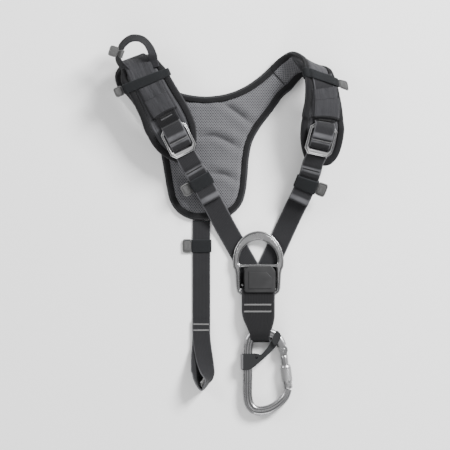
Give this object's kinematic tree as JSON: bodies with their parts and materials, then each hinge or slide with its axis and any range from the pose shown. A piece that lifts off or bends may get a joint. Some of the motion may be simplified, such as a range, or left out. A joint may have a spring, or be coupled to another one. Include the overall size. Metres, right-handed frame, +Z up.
{
  "type": "climbing chest harness",
  "caption": "Padded climbing chest harness lying folded, with buckled shoulder bands, a sternal ring, a screw-gate carabiner on a webbing loop and a tail strap.",
  "frame": {"origin": "middle of the back pad's flat underside", "axes": "+Z up off the surface that the harness lies on, +Y from the tail strap towards the shoulders, +X to the right as it is seen from above"},
  "size_m": [0.3105, 0.5059, 0.0594],
  "materials": {
    "mesh": "air mesh cloth with small dark openings",
    "binding": "ribbed edge tape",
    "pad": "tight weave",
    "sleeve": "smooth coated cloth",
    "webbing": "ribbed webbing",
    "elastic": "ribbed elastic",
    "tab": "woven tape",
    "buckle_metal": "satin",
    "plastic": "fine matte grain",
    "ring_metal": "satin, polished edges",
    "carabiner_metal": "satin",
    "rubber": "matte"
  },
  "bodies": {
    "harness": {"back_pad": "mesh", "back_binding_sides": "binding", "back_binding_collar": "binding", "shoulder_binding_left": "binding", "shoulder_binding_right": "binding", "shoulder_pad_left": "pad", "shoulder_pad_right": "pad", "sleeve_left": "sleeve", "sleeve_right": "sleeve", "label_panel_left": "sleeve", "label_panel_right": "sleeve", "adjuster_web_left": "webbing", "adjuster_web_right": "webbing", "front_strap_left": "webbing", "front_strap_right": "webbing", "sternal_web": "webbing", "tail_strap": "webbing", "hang_loop": "webbing", "shoulder_elastic_left": "elastic", "shoulder_elastic_right": "elastic", "keeper_left": "elastic", "keeper_right": "elastic", "keeper_tail": "elastic", "shoulder_tab_left": "tab", "shoulder_tab_right": "tab", "keeper_tab_left": "tab", "keeper_tab_right": "tab", "keeper_tab_tail": "tab", "hang_loop_tab": "tab", "buckle_frame_left": "buckle_metal", "buckle_frame_right": "buckle_metal", "buckle_slider_left": "plastic", "buckle_slider_right": "plastic", "ring_cover": "plastic", "sternal_ring": "ring_metal", "carabiner_body": "carabiner_metal", "carabiner_holder": "rubber"},
    "gate": {"carabiner_gate": "carabiner_metal"},
    "sleeve": {"screw_sleeve": "carabiner_metal"}
  },
  "joints": [
    {"name": "gate_hinge", "type": "hinge", "parent": "harness", "child": "gate", "pos_m": [0.1034, -0.25805, 0.0079], "axis": [0, 0, -1], "range_deg": [0, 25], "stiffness_Nm_per_rad": 0.15, "springref_deg": -20.05},
    {"name": "sleeve_travel", "type": "slide", "parent": "gate", "child": "sleeve", "axis": [-0.1258, 0.9921, 0], "range_m": [0, 0.0085]}
  ]
}
